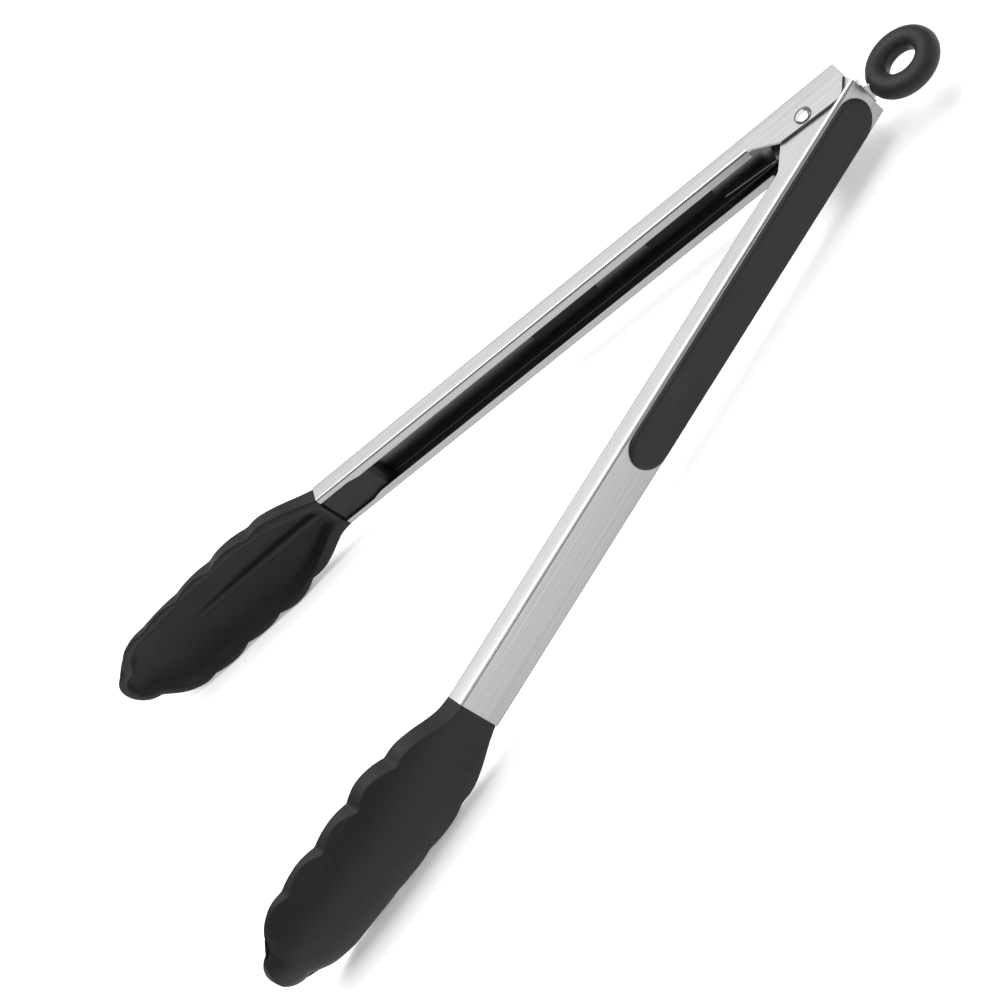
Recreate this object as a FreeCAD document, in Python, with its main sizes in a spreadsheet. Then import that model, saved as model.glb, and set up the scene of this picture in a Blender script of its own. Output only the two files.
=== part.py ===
import FreeCAD, Part
import math
import os
import Sketcher
from FreeCAD import Placement, Rotation, Vector

# Spring loaded kitchen tongs, millimetres.
# Each arm is drawn in its own frame: x along the arm from the hinge pin towards the tip,
# y outwards from the pin to the arm's back (web), z along the hinge pin.
# The two arm frames are then turned about the pin to the open, resting position.

DIMENSIONS = {
    # hinge and rest position
    "half_opening_angle": 14.66,
    # pressed steel channel shared by both arms
    "sheet_thickness": 0.8,
    "channel_half_width": 8.7,
    "web_depth": 10.5,
    "lip_depth": 3.6,
    "lip_width": 3.3,
    "narrow_lip_width": 2.3,
    "narrow_lip_start": 187.0,
    "lip_ramp": 4.0,
    "bend_radius": 1.3,
    "web_back": 14.7,
    "channel_start": 20.0,
    "metal_end": 199.0,
    # ears around the hinge pin
    "ear_depth": 4.1,
    "ear_front": 9.5,
    "ear_front_depth": 3.0,
    "ear_back": 12.9,
    "ear_bulge": 16.0,
    "ear_bulge_depth": 3.0,
    "ear_corner_radius": 4.0,
    "ear_heel_radius": 2.0,
    "heel_ramp": 1.8,
    "heel_drop": 0.7,
    "lip_bend_radius": 0.75,
    "cut_margin": 1.0,
    "joggle_inset": 0.95,
    "joggle_depth": 1.4,
    "inner_ear_depth": 3.4,
    # hinge rivet and its spacer
    "rivet_radius": 1.75,
    "rivet_head_radius": 3.2,
    "rivet_head_height": 1.3,
    "rivet_tail_radius": 2.9,
    "rivet_tail_height": 1.1,
    "running_clearance": 0.06,
    "spacer_radius": 2.6,
    # silicone grips and the slots that anchor them
    "grip_back": 12.6,
    "grip_front": 113.8,
    "grip_half_width": 7.5,
    "grip_height": 1.5,
    "grip_edge_radius": 1.2,
    "slot_half_width": 2.7,
    "slot_length": 25.4,
    "first_slot": 38.3,
    "slot_pitch": 46.8,
    "anchor_clearance": 0.1,
    "anchor_lip": 0.9,
    "anchor_overhang": 0.6,
    # lock slider, its cross pin and the hanging ring
    "lock_travel": 10.0,
    "slider_half_width": 4.6,
    "slider_sheet": 0.8,
    "slider_face": 1.0,
    "slider_edge": 2.2,
    "slider_tail": 18.4,
    "slider_fold_radius": 0.7,
    "tongue_end": 24.2,
    "tongue_half_width": 2.6,
    "rail_back": 3.0,
    "rail_front": 14.0,
    "rail_half_depth": 3.1,
    "rail_bevel": 2.0,
    "rail_clearance": 0.05,
    "lock_pin_place": 2.5,
    "lock_pin_depth": 4.75,
    "lock_pin_radius": 0.9,
    "lock_pin_half_length": 7.6,
    "latch_clearance": 0.3,
    "latch_entry": 2.0,
    "lug_half_width": 2.2,
    "lug_top": 6.4,
    "lug_corner_radius": 1.6,
    "ring_place": 31.3,
    "ring_offset": 0.6,
    "ring_radius": 8.5,
    "ring_tube_radius": 3.75,
    "ring_hole_radius": 4.95,
    # torsion spring
    "wire_radius": 0.4,
    "coil_radius": 2.45,
    "coil_start": 5.08,
    "coil_pitch": 0.82,
    "bridge_place": 27.0,
    "bridge_half_width": 5.08,
    "leg_heel": 17.0,
    "leg_tip": 36.0,
    # gripping heads
    "shank_start": 178.0,
    "shank_clearance": 0.06,
    "shank_chamfer": 1.6,
    "skin_thickness": 2.5,
    "core_thickness": 1.1,
    "core_half_width": 4.2,
    "core_end": 278.0,
    "rib_half_width": 2.1,
    "rib_end_half_width": 1.3,
    "rib_end": 262.0,
    "rib_height": 1.3,
}

# Head sections: place along the arm, half width, rim height, crown height, boxiness.
HEAD_SECTIONS = [
    (199.0, 8.7, 3.6, 10.5, 9.0),
    (207.0, 11.9, 4.1, 10.7, 7.0),
    (218.0, 16.4, 2.9, 10.6, 4.5),
    (232.0, 19.1, 0.6, 10.0, 3.2),
    (248.0, 19.3, -0.5, 9.0, 2.5),
    (264.0, 19.0, -2.5, 7.3, 2.2),
    (279.0, 17.9, -3.75, 4.7, 2.2),
    (290.0, 13.5, -3.9, 2.3, 2.2),
    (299.0, 10.5, -4.1, -0.9, 2.2),
]

# Scalloped outline: place and half width of each corner between two arcs, and the rise
# of the arc that ends there. The last arc goes round the tip to the same corner opposite.
HEAD_OUTLINE = [
    (199.0, 8.7, 0.0),
    (209.0, 12.3, -0.4),
    (223.5, 16.0, 1.2),
    (240.5, 16.7, 1.9),
    (256.0, 17.3, 1.6),
    (272.0, 16.7, 1.5),
    (289.6, 8.8, 2.9),
]
TIP_RISE = 7.9
HALF_PRISM = 30.0

# A ball at each bend of the spring's wire, as a multiple of the wire's radius.
BEND_BALL = 1.15


class Size:
    """A number that remembers the spreadsheet expression it comes from."""

    def __init__(self, value, text):
        self.value = value
        self.text = text

    def join(self, other, sign, value):
        other_text = other.text if isinstance(other, Size) else repr(float(other))
        return Size(value, "(" + self.text + " " + sign + " " + other_text + ")")

    def __add__(self, other):
        return self.join(other, "+", self.value + number(other))

    def __sub__(self, other):
        return self.join(other, "-", self.value - number(other))

    def __mul__(self, other):
        return self.join(other, "*", self.value * number(other))

    def __neg__(self):
        return Size(-self.value, "(0 - " + self.text + ")")


def number(item):
    return item.value if isinstance(item, Size) else float(item)


doc = FreeCAD.newDocument("kitchen_tongs")
sheet = doc.addObject("Spreadsheet::Sheet", "Dimensions")
for row, (alias, value) in enumerate(DIMENSIONS.items(), start=1):
    sheet.set("A%d" % row, alias)
    sheet.set("B%d" % row, str(value))
    sheet.setAlias("B%d" % row, alias)
doc.recompute()
D = {alias: Size(float(sheet.get(alias)), "Dimensions." + alias) for alias in DIMENSIONS}
V = {alias: size.value for alias, size in D.items()}


# ---------------------------------------------------------------- sketch and feature helpers

def bind(item, name, size):
    if isinstance(size, Size):
        item.setExpression(name, size.text)
    else:
        setattr(item, name, size)


def new_body(label):
    body = doc.addObject("PartDesign::Body", label)
    body.Label = label
    return body


def new_sketch(body, role, name, offset=None, turn=None):
    sketch = body.newObject("Sketcher::SketchObject", body.Name + "_" + name)
    origin_plane = [f for f in body.Origin.OriginFeatures if f.Role == role][0]
    sketch.AttachmentSupport = [(origin_plane, "")]
    sketch.MapMode = "FlatFace"
    if turn is not None:
        sketch.AttachmentOffset = Placement(Vector(), Rotation(Vector(0, 0, 1), turn))
    if offset is not None:
        sketch.setExpression("AttachmentOffset.Base.z", offset.text)
    return sketch


def tie(sketch, kind, *rest):
    """Add one constraint whose last value may be a Size."""
    size = rest[-1]
    index = sketch.addConstraint(Sketcher.Constraint(kind, *rest[:-1], number(size)))
    if isinstance(size, Size):
        sketch.setExpression("Constraints[%d]" % index, size.text)


def pin_point(sketch, line, end, point):
    """Hold one end point at its place, on an axis where a coordinate is zero."""
    for kind, axis, size in (("DistanceX", -2, point[0]), ("DistanceY", -1, point[1])):
        if number(size) == 0.0:
            sketch.addConstraint(Sketcher.Constraint("PointOnObject", line, end, axis))
        else:
            tie(sketch, kind, -1, 1, line, end, size)


def add_polygon(sketch, points):
    seeds = [Vector(number(x), number(y), 0) for x, y in points]
    first = sketch.GeometryCount
    count = len(points)
    for i in range(count):
        sketch.addGeometry(Part.LineSegment(seeds[i], seeds[(i + 1) % count]), False)
    for i in range(count):
        following = first + (i + 1) % count
        sketch.addConstraint(Sketcher.Constraint("Coincident", first + i, 2, following, 1))
    for i in range(count):
        pin_point(sketch, first + i, 1, points[i])


def add_circle(sketch, centre, radius):
    seed = Vector(number(centre[0]), number(centre[1]), 0)
    circle = sketch.addGeometry(Part.Circle(seed, Vector(0, 0, 1), number(radius)), False)
    if number(centre[0]) == 0.0 and number(centre[1]) == 0.0:
        sketch.addConstraint(Sketcher.Constraint("Coincident", circle, 3, -1, 1))
    else:
        pin_point(sketch, circle, 3, centre)
    tie(sketch, "Radius", circle, radius)


def add_slot(sketch, x_low, x_high, y_mid, radius):
    """A slot with round ends; x_low and x_high are the centres of its end arcs."""
    low = Vector(number(x_low), number(y_mid), 0)
    high = Vector(number(x_high), number(y_mid), 0)
    r = number(radius)
    normal = Vector(0, 0, 1)
    quarter = math.pi / 2
    left = sketch.addGeometry(
        Part.ArcOfCircle(Part.Circle(low, normal, r), quarter, 3 * quarter), False)
    right = sketch.addGeometry(
        Part.ArcOfCircle(Part.Circle(high, normal, r), -quarter, quarter), False)
    up = Vector(0, r, 0)
    top = sketch.addGeometry(Part.LineSegment(low + up, high + up), False)
    bottom = sketch.addGeometry(Part.LineSegment(low - up, high - up), False)
    for arc, arc_end, line, line_end in (
            (left, 1, top, 1), (left, 2, bottom, 1), (right, 2, top, 2), (right, 1, bottom, 2)):
        sketch.addConstraint(Sketcher.Constraint("Tangent", arc, arc_end, line, line_end))
    pin_point(sketch, left, 3, (x_low, y_mid))
    tie(sketch, "DistanceX", -1, 1, right, 3, x_high)
    tie(sketch, "Radius", left, radius)


def pad(body, sketch, length, both_sides=False, reverse=False):
    feature = body.newObject("PartDesign::Pad", sketch.Name + "_pad")
    feature.Profile = sketch
    bind(feature, "Length", length)
    feature.SideType = "Symmetric" if both_sides else "One side"
    feature.Reversed = reverse
    sketch.Visibility = False
    doc.recompute()
    return feature


def pocket_through(body, sketch):
    """Cut right through on both sides of the sketch, and check that it cut something."""
    before = body.Shape.Volume
    feature = body.newObject("PartDesign::Pocket", sketch.Name + "_cut")
    feature.Profile = sketch
    feature.Type = "ThroughAll"
    feature.SideType = "Symmetric"
    sketch.Visibility = False
    doc.recompute()
    if body.Shape.Volume >= before:
        raise RuntimeError(feature.Name + " cut nothing")
    return feature


def pocket_up_to(body, sketch, depth):
    """Cut from the pin's plane outwards to a depth, and check that it cut something."""
    before = body.Shape.Volume
    feature = body.newObject("PartDesign::Pocket", sketch.Name + "_cut")
    feature.Profile = sketch
    feature.Type = "Length"
    bind(feature, "Length", depth)
    sketch.Visibility = False
    doc.recompute()
    if body.Shape.Volume >= before:
        feature.Reversed = True
        doc.recompute()
    if body.Shape.Volume >= before:
        raise RuntimeError(feature.Name + " cut nothing")
    return feature


def edge_names(shape, wanted):
    """Names of the edges whose middle point and direction satisfy the test."""
    names = []
    for index, edge in enumerate(shape.Edges, start=1):
        middle = edge.valueAt((edge.FirstParameter + edge.LastParameter) / 2)
        start = edge.valueAt(edge.FirstParameter)
        along = edge.valueAt(edge.LastParameter) - start
        direction = along.normalize() if along.Length > 1e-6 else Vector()
        if wanted(middle, direction):
            names.append("Edge%d" % index)
    return names


def round_edges(body, radius, wanted, name):
    base = body.Tip
    names = edge_names(base.Shape, wanted)
    if not names:
        raise RuntimeError(body.Name + " has no edge for " + name)
    feature = body.newObject("PartDesign::Fillet", body.Name + "_" + name)
    feature.Base = (base, names)
    bind(feature, "Radius", radius)
    doc.recompute()
    return feature


def near(a, b, reach=0.05):
    return abs(a - b) < reach


# ---------------------------------------------------------------- the pressed steel arms

def lipped_channel(body):
    """The channel from the ears to the head, with lips that narrow beside the shank."""
    start = D["channel_start"]
    end = D["metal_end"]
    lip = D["lip_width"]
    side = D["channel_half_width"]
    wall = D["sheet_thickness"]
    web = D["web_depth"]
    foot = D["lip_depth"]
    sketch = new_sketch(body, "YZ_Plane", "section", offset=start)
    half = [
        (foot, side), (foot, side - lip), (foot + wall, side - lip),
        (foot + wall, side - wall), (web - wall, side - wall),
    ]
    other_half = [(y, -z) for y, z in reversed(half)]
    add_polygon(sketch, half + other_half + [(web, -side), (web, side)])
    pad(body, sketch, end - start)

    narrow = side - D["narrow_lip_width"]
    wide = side - lip
    ramp = D["narrow_lip_start"] - D["lip_ramp"]
    past = end + D["cut_margin"]
    trim = new_sketch(body, "XZ_Plane", "lip_trim")
    add_polygon(trim, [(ramp, wide), (D["narrow_lip_start"], narrow), (past, narrow),
                       (past, -narrow), (D["narrow_lip_start"], -narrow), (ramp, -wide)])
    pocket_up_to(body, trim, foot + wall + D["cut_margin"])


def ear_stretch(body, inset):
    """The deeper channel around the pin, whose flanges become the ears."""
    side = D["channel_half_width"]
    wall = D["sheet_thickness"]
    web = D["web_depth"]
    foot = -D["ear_depth"] - D["cut_margin"]
    back = D["ear_bulge"] + D["cut_margin"]
    sketch = new_sketch(body, "YZ_Plane", "ear_section", offset=-back)
    if inset:
        step = web - D["joggle_depth"]
        ear = side - D["joggle_inset"]
        half = [(web, side), (step, side), (step, ear), (foot, ear),
                (foot, ear - wall), (web - wall, ear - wall)]
    else:
        half = [(web, side), (foot, side), (foot, side - wall), (web - wall, side - wall)]
    other_half = [(y, -z) for y, z in reversed(half)]
    add_polygon(sketch, half + other_half)
    return pad(body, sketch, D["channel_start"] + back)


def trim_ears(body, depth):
    """Cut the ear outline; the sketch surrounds what is taken away."""
    margin = D["cut_margin"]
    behind = -D["ear_bulge"] - margin * 4
    above = D["web_depth"] + margin
    below = -D["ear_depth"] - margin * 4
    front = D["channel_start"] + margin
    sketch = new_sketch(body, "XY_Plane", "ear_outline")
    add_polygon(sketch, [
        (front, D["lip_depth"]),
        (D["channel_start"] - D["heel_ramp"], D["lip_depth"] - D["heel_drop"]),
        (D["ear_front"], -D["ear_front_depth"]),
        (-D["ear_back"], -depth),
        (-D["ear_bulge"], D["ear_bulge_depth"]),
        (-D["web_back"], above),
        (behind, above),
        (behind, below),
        (front, below),
    ])
    pocket_through(body, sketch)


def build_arm(label, inset):
    body = new_body(label)
    depth = D["inner_ear_depth"] if inset else D["ear_depth"]
    ear_stretch(body, inset)
    trim_ears(body, depth)
    lipped_channel(body)

    hole = new_sketch(body, "XY_Plane", "pin_hole")
    add_circle(hole, (0, 0), D["rivet_radius"] + D["running_clearance"])
    pocket_through(body, hole)

    slots = new_sketch(body, "XZ_Plane", "anchor_slots")
    half = D["slot_half_width"]
    for count in range(2):
        start = D["first_slot"] + D["slot_pitch"] * count
        add_slot(slots, start + half, start + D["slot_length"] - half, 0, half)
    pocket_through(body, slots)

    if inset:
        # The hook that the lock pin catches: a slot that leaves room for the pin when the
        # tongs are open, drawn square to the other arm at its open position.
        hook = new_sketch(body, "XY_Plane", "latch_slot", turn=-2 * V["half_opening_angle"])
        add_slot(hook, D["lock_pin_place"] - D["lock_travel"],
                 D["lock_pin_place"] + D["latch_entry"], -D["lock_pin_depth"],
                 D["lock_pin_radius"] + D["latch_clearance"])
        pocket_through(body, hook)

    web = V["web_depth"]
    side = V["channel_half_width"]
    wall = V["sheet_thickness"]
    round_edges(body, D["bend_radius"], lambda m, d: near(abs(d.x), 1, 0.001)
                and near(m.y, web) and near(abs(m.z), side), "outer_bend")
    round_edges(body, D["bend_radius"] - wall, lambda m, d: near(abs(d.x), 1, 0.001)
                and near(m.y, web - wall) and abs(m.z) > side - 3 * wall, "inner_bend")
    round_edges(body, D["ear_corner_radius"], lambda m, d: near(abs(d.z), 1, 0.001)
                and near(m.x, -V["ear_back"]) and near(m.y, -depth.value), "ear_corner")
    round_edges(body, D["ear_heel_radius"], lambda m, d: near(abs(d.z), 1, 0.001)
                and near(m.x, V["ear_front"]) and near(m.y, -V["ear_front_depth"]), "ear_heel")
    round_edges(body, D["lip_bend_radius"], lambda m, d: near(abs(d.x), 1, 0.001)
                and near(m.y, V["lip_depth"]) and near(abs(m.z), side), "lip_bend")
    return body


# ---------------------------------------------------------------- silicone grips

def build_grip(label):
    """A long pad on the web, with a mushroom anchor through each slot."""
    body = new_body(label)
    web = D["web_depth"]
    half = D["grip_half_width"]
    outline = new_sketch(body, "XZ_Plane", "outline", offset=-web)
    add_slot(outline, -D["grip_back"] + half, D["grip_front"] - half, 0, half)
    pad(body, outline, D["grip_height"], reverse=True)
    top = V["web_depth"] + V["grip_height"]
    round_edges(body, D["grip_edge_radius"], lambda m, d: near(m.y, top), "crown")

    def anchors(name, level, radius, height):
        sketch = new_sketch(body, "XZ_Plane", name, offset=-level)
        for count in range(2):
            start = D["first_slot"] + D["slot_pitch"] * count
            add_slot(sketch, start + D["slot_half_width"],
                     start + D["slot_length"] - D["slot_half_width"], 0, radius)
        pad(body, sketch, height)

    wall = D["sheet_thickness"]
    stem = D["slot_half_width"] - D["anchor_clearance"]
    anchors("stems", web, stem, wall + D["anchor_lip"])
    anchors("anchor_lips", web - wall, D["slot_half_width"] + D["anchor_overhang"],
            D["anchor_lip"])
    return body


# ---------------------------------------------------------------- rivet, spacer, lock

def revolve(body, points):
    """Turn a half profile (radius, height) about the pin's axis."""
    sketch = new_sketch(body, "XZ_Plane", "profile")
    add_polygon(sketch, points)
    feature = body.newObject("PartDesign::Revolution", body.Name + "_turned")
    feature.Profile = sketch
    feature.ReferenceAxis = (sketch, ["V_Axis"])
    feature.Angle = 360.0
    doc.recompute()
    return feature


def build_rivet(label):
    body = new_body(label)
    side = D["channel_half_width"]
    revolve(body, [
        (0, -side - D["rivet_tail_height"]), (D["rivet_tail_radius"], -side - D["rivet_tail_height"]),
        (D["rivet_tail_radius"], -side), (D["rivet_radius"], -side),
        (D["rivet_radius"], side), (D["rivet_head_radius"], side),
        (D["rivet_head_radius"], side + D["rivet_head_height"]), (0, side + D["rivet_head_height"]),
    ])
    head_top = V["channel_half_width"] + V["rivet_head_height"]
    tail_top = -V["channel_half_width"] - V["rivet_tail_height"]
    round_edges(body, D["rivet_head_height"] - 0.1,
                lambda m, d: near(m.z, head_top), "head_dome")
    round_edges(body, D["rivet_tail_height"] - 0.1,
                lambda m, d: near(m.z, tail_top), "tail_dome")
    return body


def build_spacer(label):
    """The tube on the rivet that keeps the slider's two rails apart."""
    body = new_body(label)
    reach = D["slider_half_width"] - D["slider_sheet"] - D["rail_clearance"]
    bore = D["rivet_radius"] + D["running_clearance"]
    revolve(body, [(bore, -reach), (D["spacer_radius"], -reach),
                   (D["spacer_radius"], reach), (bore, reach)])
    return body


def build_slider(label):
    """Folded strip: a face towards the inner arm, and two rails with a slot for the rivet."""
    body = new_body(label)
    wide = D["slider_half_width"]
    wall = D["slider_sheet"]
    face = D["slider_face"]
    section = new_sketch(body, "YZ_Plane", "tail_section", offset=-D["slider_tail"])
    half = [(-face, wide), (D["slider_edge"], wide), (D["slider_edge"], wide - wall),
            (-face + wall, wide - wall)]
    mirror_half = [(y, -z) for y, z in reversed(half)]
    add_polygon(section, half + mirror_half)
    pad(body, section, D["slider_tail"] - D["rail_back"])

    tongue = new_sketch(body, "YZ_Plane", "tongue_section", offset=-D["tongue_end"])
    reach = D["tongue_half_width"]
    add_polygon(tongue, [(-face, -reach), (-face + wall, -reach), (-face + wall, reach),
                         (-face, reach)])
    pad(body, tongue, D["tongue_end"] - D["slider_tail"])

    rail_depth = D["rail_half_depth"]
    lug_back = D["lock_pin_place"] - D["lug_half_width"]
    lug_front = D["lock_pin_place"] + D["lug_half_width"]
    for side, name in ((1, "upper_rail"), (-1, "lower_rail")):
        level = wide if side > 0 else -wide
        rail = new_sketch(body, "XY_Plane", name, offset=level)
        add_polygon(rail, [
            (-D["rail_back"], -face), (D["rail_bevel"] - D["rail_back"], -rail_depth),
            (D["rail_front"], -rail_depth), (D["rail_front"], rail_depth),
            (lug_front, rail_depth), (lug_front, D["lug_top"]),
            (lug_back, D["lug_top"]), (lug_back, rail_depth), (-D["rail_back"], D["slider_edge"]),
        ])
        pad(body, rail, wall, reverse=side > 0)

    slot = new_sketch(body, "XY_Plane", "rivet_slot")
    radius = D["rivet_radius"] + D["running_clearance"]
    add_slot(slot, 0, D["lock_travel"], 0, radius)
    pocket_through(body, slot)
    hole = new_sketch(body, "XY_Plane", "lock_pin_hole")
    add_circle(hole, (D["lock_pin_place"], D["lock_pin_depth"]), D["lock_pin_radius"])
    pocket_through(body, hole)
    round_edges(body, D["slider_fold_radius"], lambda m, d: near(abs(d.x), 1, 0.001)
                and near(m.y, -V["slider_face"]) and near(abs(m.z), V["slider_half_width"]),
                "fold")
    round_edges(body, D["lug_corner_radius"], lambda m, d: near(abs(d.z), 1, 0.001)
                and near(m.y, V["lug_top"]), "lug_corner")
    return body


def build_lock_pin(label):
    pin = doc.addObject("Part::Cylinder", label)
    pin.Label = label
    bind(pin, "Radius", D["lock_pin_radius"] - 0.01)
    bind(pin, "Height", D["lock_pin_half_length"] * 2)
    pin.Angle = 360.0
    return pin


def build_ring(label):
    """Moulded ring with a flat land in its hole, formed round the slider's tongue."""
    round_part = doc.addObject("Part::Torus", label + "_round")
    bind(round_part, "Radius1", D["ring_radius"])
    bind(round_part, "Radius2", D["ring_tube_radius"])
    round_part.setExpression("Placement.Base.x", (-D["ring_place"]).text)
    round_part.setExpression("Placement.Base.y", D["ring_offset"].text)

    hole = doc.addObject("Part::Cylinder", label + "_hole")
    bind(hole, "Radius", D["ring_hole_radius"])
    bind(hole, "Height", D["ring_tube_radius"] * 2)
    hole.setExpression("Placement.Base.x", (-D["ring_place"]).text)
    hole.setExpression("Placement.Base.y", D["ring_offset"].text)
    hole.setExpression("Placement.Base.z", (-D["ring_tube_radius"]).text)

    holed = doc.addObject("Part::Cut", label + "_holed")
    holed.Base = round_part
    holed.Tool = hole

    space = doc.addObject("Part::Box", label + "_tongue_space")
    bind(space, "Length", D["tongue_end"] - D["slider_tail"])
    bind(space, "Width", D["slider_sheet"])
    bind(space, "Height", D["tongue_half_width"] * 2)
    space.setExpression("Placement.Base.x", (-D["tongue_end"]).text)
    space.setExpression("Placement.Base.y", (-D["slider_face"]).text)
    space.setExpression("Placement.Base.z", (-D["tongue_half_width"]).text)

    part = doc.addObject("Part::Cut", label)
    part.Label = label
    part.Base = holed
    part.Tool = space
    doc.recompute()
    return part


# ---------------------------------------------------------------- torsion spring

def bent_wire(points, radius):
    """Straight runs of wire, with a larger ball at each bend."""
    pieces = []
    for start, end in zip(points, points[1:]):
        along = end - start
        pieces.append(Part.makeCylinder(radius, along.Length, start, along))
    pieces += [Part.makeSphere(radius * BEND_BALL, point) for point in points[:-1]]
    return pieces[0].fuse(pieces[1:])


def tangent_angle(target, radius, side):
    """Angle on a circle about the pin where a straight leg to the target leaves it."""
    reach = math.hypot(target.x, target.y)
    return math.atan2(target.y, target.x) + side * math.acos(radius / reach)


def build_spring(label):
    """Two coils on the rivet; two legs press on the outer arm, a bridge on the inner arm.

    Drawn with x along the outer arm and its web at negative y.
    """
    radius = V["wire_radius"]
    coil = V["coil_radius"]
    start = V["coil_start"]
    pitch = V["coil_pitch"]
    web = V["web_depth"] - V["sheet_thickness"] - radius - 0.1
    to_inner_arm = Rotation(Vector(0, 0, 1), 2 * V["half_opening_angle"])
    bridge = to_inner_arm.multVec(Vector(V["bridge_place"], web, 0))
    leg_heel = Vector(V["leg_heel"], -web, 0)
    leg_tip = Vector(V["leg_tip"], -web, 0)
    begin = tangent_angle(bridge, coil, -1)
    finish = tangent_angle(leg_heel, coil, 1)
    turned = 2 * math.pi + (begin - finish) % (2 * math.pi)
    height = pitch * turned / (2 * math.pi)
    helix = Part.makeHelix(pitch, height, coil, 0, True)
    circle = Part.Circle(Vector(coil, 0, 0), Vector(0, 1, 0), radius).toShape()
    turns = Part.Wire(helix.Edges).makePipeShell([Part.Wire([circle])], True, True)
    turns.rotate(Vector(), Vector(0, 0, 1), math.degrees(begin))
    turns.translate(Vector(0, 0, start))
    inner_end = Vector(coil * math.cos(begin), coil * math.sin(begin), start)
    outer_end = Vector(coil * math.cos(finish), coil * math.sin(finish), start + height)
    leg = bent_wire([outer_end, leg_heel + Vector(0, 0, start + height),
                     leg_tip + Vector(0, 0, start)], radius)
    half_bridge = bent_wire([inner_end, bridge + Vector(0, 0, V["bridge_half_width"]), bridge],
                            radius)
    half = turns.fuse(leg).fuse(half_bridge)
    feature = doc.addObject("Part::Feature", label)
    feature.Label = label
    feature.Shape = half.fuse(half.mirror(Vector(), Vector(0, 0, 1)))
    return feature


# ---------------------------------------------------------------- gripping heads

def head_curve(place, half, rim, crown, power, count=12):
    """One open curve from rim to rim over the crown, as a smooth spline."""
    points = []
    for i in range(count + 1):
        turn = math.pi * i / count
        z = -half * math.cos(turn)
        rise = (1 - abs(z / half) ** power) ** (1 / power)
        points.append(Vector(place, rim + (crown - rim) * rise, z))
    spline = Part.BSplineCurve()
    spline.interpolate(points)
    return spline.toShape(), points[0], points[-1]


def head_section(place, half, rim, crown, power):
    """Closed section of the spoon shaped shell: outer curve, rims and inner curve."""
    wall = min(V["skin_thickness"], 0.8 * (crown - rim))
    outer, outer_low, outer_high = head_curve(place, half, rim, crown, power)
    inner, inner_low, inner_high = head_curve(place, half - wall, rim, crown - wall, power)
    low_rim = Part.makeLine(outer_low, inner_low)
    high_rim = Part.makeLine(inner_high, outer_high)
    return Part.Wire([outer, high_rim, inner, low_rim])


def arc_between(start, end, rise):
    """Arc from start to end that rises to the left of the chord, seen from -y."""
    chord = end - start
    left = Vector(0, 1, 0).cross(chord).normalize() * -1
    return Part.Arc(start, (start + end) * 0.5 + left * rise, end).toShape()


def outline_prism():
    """The scalloped plan of the head, as a tall block that trims the shell."""
    upper = [Vector(place, -HALF_PRISM, half) for place, half, rise in HEAD_OUTLINE]
    lower = [Vector(place, -HALF_PRISM, -half) for place, half, rise in HEAD_OUTLINE[::-1]]
    rises = [rise for place, half, rise in HEAD_OUTLINE[1:]]
    corners = upper + lower
    edges = [arc_between(start, end, rise)
             for start, end, rise in zip(corners, corners[1:], rises + [TIP_RISE] + rises[::-1])]
    edges.append(Part.makeLine(corners[-1], corners[0]))
    return Part.Face(Part.Wire(edges)).extrude(Vector(0, 2 * HALF_PRISM, 0))


def ceiling(place):
    """Height of the hollow's ceiling at a place along the head."""
    for start, end in zip(HEAD_SECTIONS, HEAD_SECTIONS[1:]):
        if start[0] <= place <= end[0]:
            share = (place - start[0]) / (end[0] - start[0])
            return start[3] + share * (end[3] - start[3]) - V["skin_thickness"]
    raise ValueError("no section at %s" % place)


def tapered_rib():
    """The slim rib down the middle of the hollow, from the neck to half way along."""
    def slice_at(place, half, drop):
        high = ceiling(place) + V["skin_thickness"] / 4
        low = ceiling(place) - drop
        corners = [Vector(place, low, -half), Vector(place, low, half),
                   Vector(place, high, half), Vector(place, high, -half)]
        return Part.makePolygon(corners + corners[:1])
    drop = V["rib_height"]
    stations = [slice_at(V["metal_end"], V["rib_half_width"], 2 * drop),
                slice_at(V["rib_end"], V["rib_end_half_width"], drop / 2)]
    return Part.makeLoft(stations, True, True)


def core_side():
    """Side view of the insert inside the head, following the crown at mid thickness."""
    middle = [(x, crown - V["skin_thickness"] / 2)
              for x, half, rim, crown, power in HEAD_SECTIONS if x < V["core_end"]]
    half = V["core_thickness"] / 2
    upper = [Vector(x, y + half, 0) for x, y in middle]
    lower = [Vector(x, y - half, 0) for x, y in reversed(middle)]
    return Part.Face(Part.makePolygon(upper + lower + upper[:1]))


def core_tongue():
    reach = V["core_half_width"]
    face = core_side()
    face.translate(Vector(0, 0, -reach))
    return face.extrude(Vector(0, 0, 2 * reach))


def build_core(label):
    """Stiff insert: a shank pressed into the channel and a tongue inside the silicone."""
    gap = V["shank_clearance"]
    inside = V["channel_half_width"] - V["sheet_thickness"] - gap
    low = V["lip_depth"] + V["sheet_thickness"] + gap
    high = V["web_depth"] - V["sheet_thickness"] - gap
    shank = Part.makeBox(V["metal_end"] - V["shank_start"], high - low, 2 * inside,
                         Vector(V["shank_start"], low, -inside))
    bend = V["bend_radius"] - V["sheet_thickness"]
    corners = [e for e in shank.Edges
               if near(e.CenterOfMass.y, high) and near(abs(e.CenterOfMass.z), inside)]
    shank = shank.makeFillet(bend, corners)
    nose = [e for e in shank.Edges
            if near(e.CenterOfMass.x, V["shank_start"]) and near(e.CenterOfMass.y, low)]
    shank = shank.makeChamfer(V["shank_chamfer"], nose)
    feature = doc.addObject("Part::Feature", label)
    feature.Label = label
    feature.Shape = shank.fuse(core_tongue()).removeSplitter()
    return feature


def head_shape():
    sections = [head_section(*row) for row in HEAD_SECTIONS]
    shell = Part.makeLoft(sections, True, False)
    filled = shell.fuse(tapered_rib())
    trimmed = filled.common(outline_prism())
    return trimmed.cut(core_tongue()).removeSplitter()


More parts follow.
